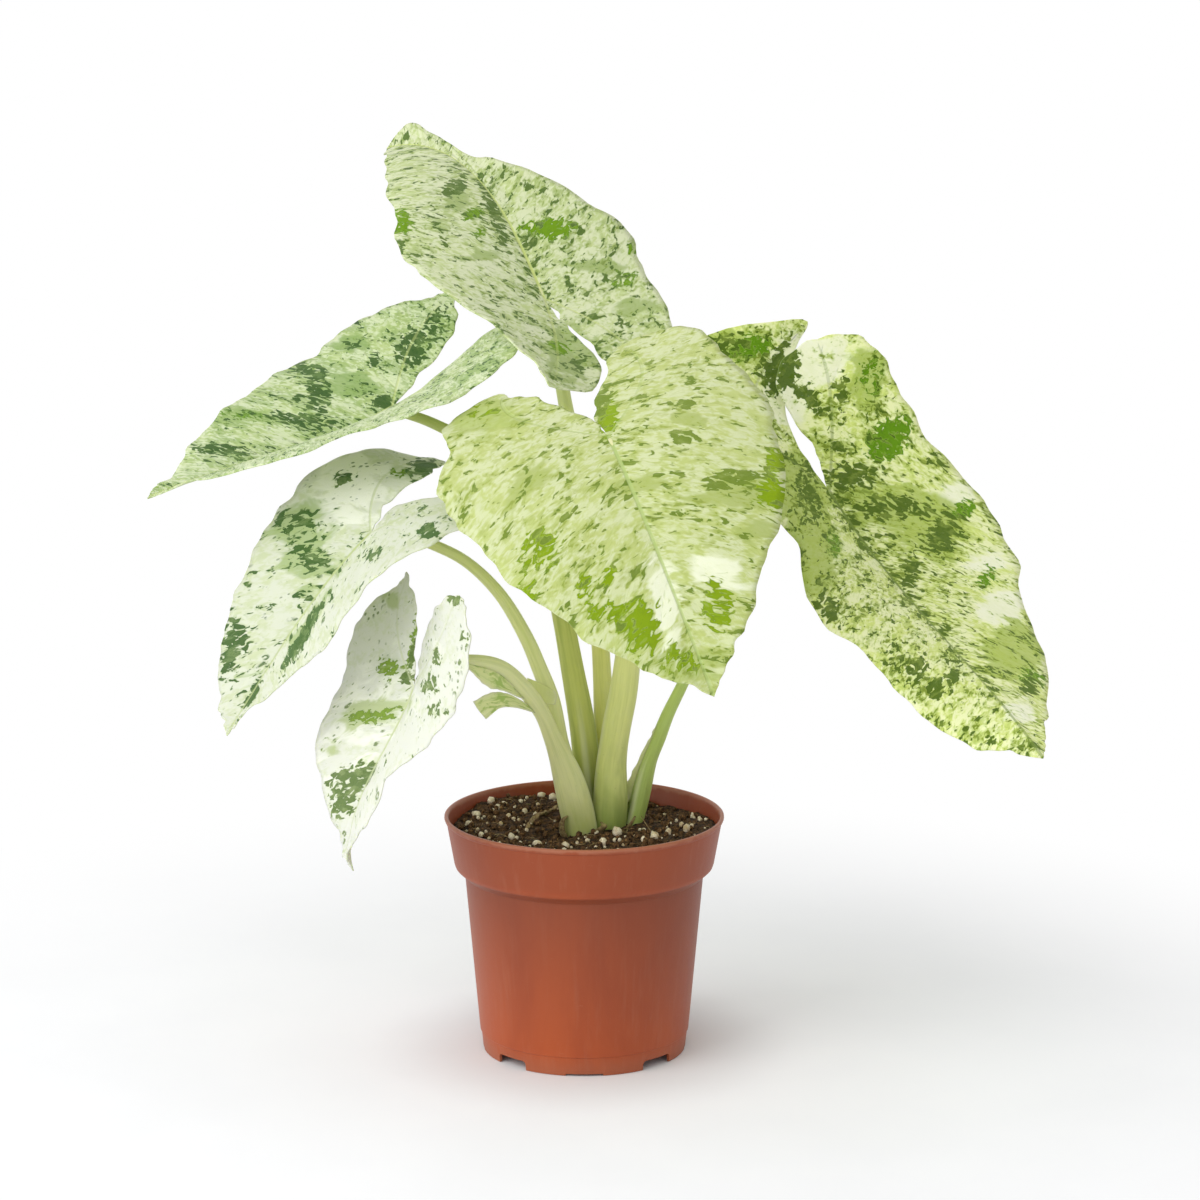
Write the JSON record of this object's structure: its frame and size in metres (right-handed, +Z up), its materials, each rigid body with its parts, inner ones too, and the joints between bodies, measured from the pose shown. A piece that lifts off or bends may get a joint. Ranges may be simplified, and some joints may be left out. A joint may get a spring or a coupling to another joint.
{
  "type": "potted plant",
  "caption": "Variegated alocasia with arrow-shaped leaves on arching stalks, growing in soil in a round terracotta-coloured plastic nursery pot.",
  "frame": {"origin": "centre of the pot's underside, on the surface that it stands on", "axes": "+Z up along the pot's axis; -Y towards the front of the plant, where the largest heart-shaped leaf faces; +X to the right seen from the front"},
  "size_m": [0.373, 0.3172, 0.3879],
  "materials": {
    "pot": "thin matte terracotta-brown plastic with a soft sheen",
    "soil": "moist dark peat mix, crumbly",
    "crown": "smooth pale green plant tissue",
    "petiole": "smooth yellow-green stalk, slightly glossy",
    "leaf": "satin cream to yellow-green leaf, splashed and speckled with mid and dark green along the side veins",
    "perlite": "off-white porous grains",
    "bark": "rough brown bark fibre"
  },
  "bodies": {
    "root": {"bark_chip": "bark", "blade_front": "leaf", "blade_lower_left": "leaf", "blade_middle_left": "leaf", "blade_right": "leaf", "blade_top": "leaf", "blade_upper_left": "leaf", "crown": "crown", "perlite_01": "perlite", "perlite_02": "perlite", "perlite_03": "perlite", "perlite_04": "perlite", "perlite_05": "perlite", "perlite_06": "perlite", "perlite_07": "perlite", "perlite_08": "perlite", "perlite_09": "perlite", "perlite_10": "perlite", "petiole_front": "petiole", "petiole_lower_left": "petiole", "petiole_middle_left": "petiole", "petiole_right": "petiole", "petiole_top": "petiole", "petiole_upper_left": "petiole", "pot": "pot", "soil": "soil"}
  },
  "joints": []
}
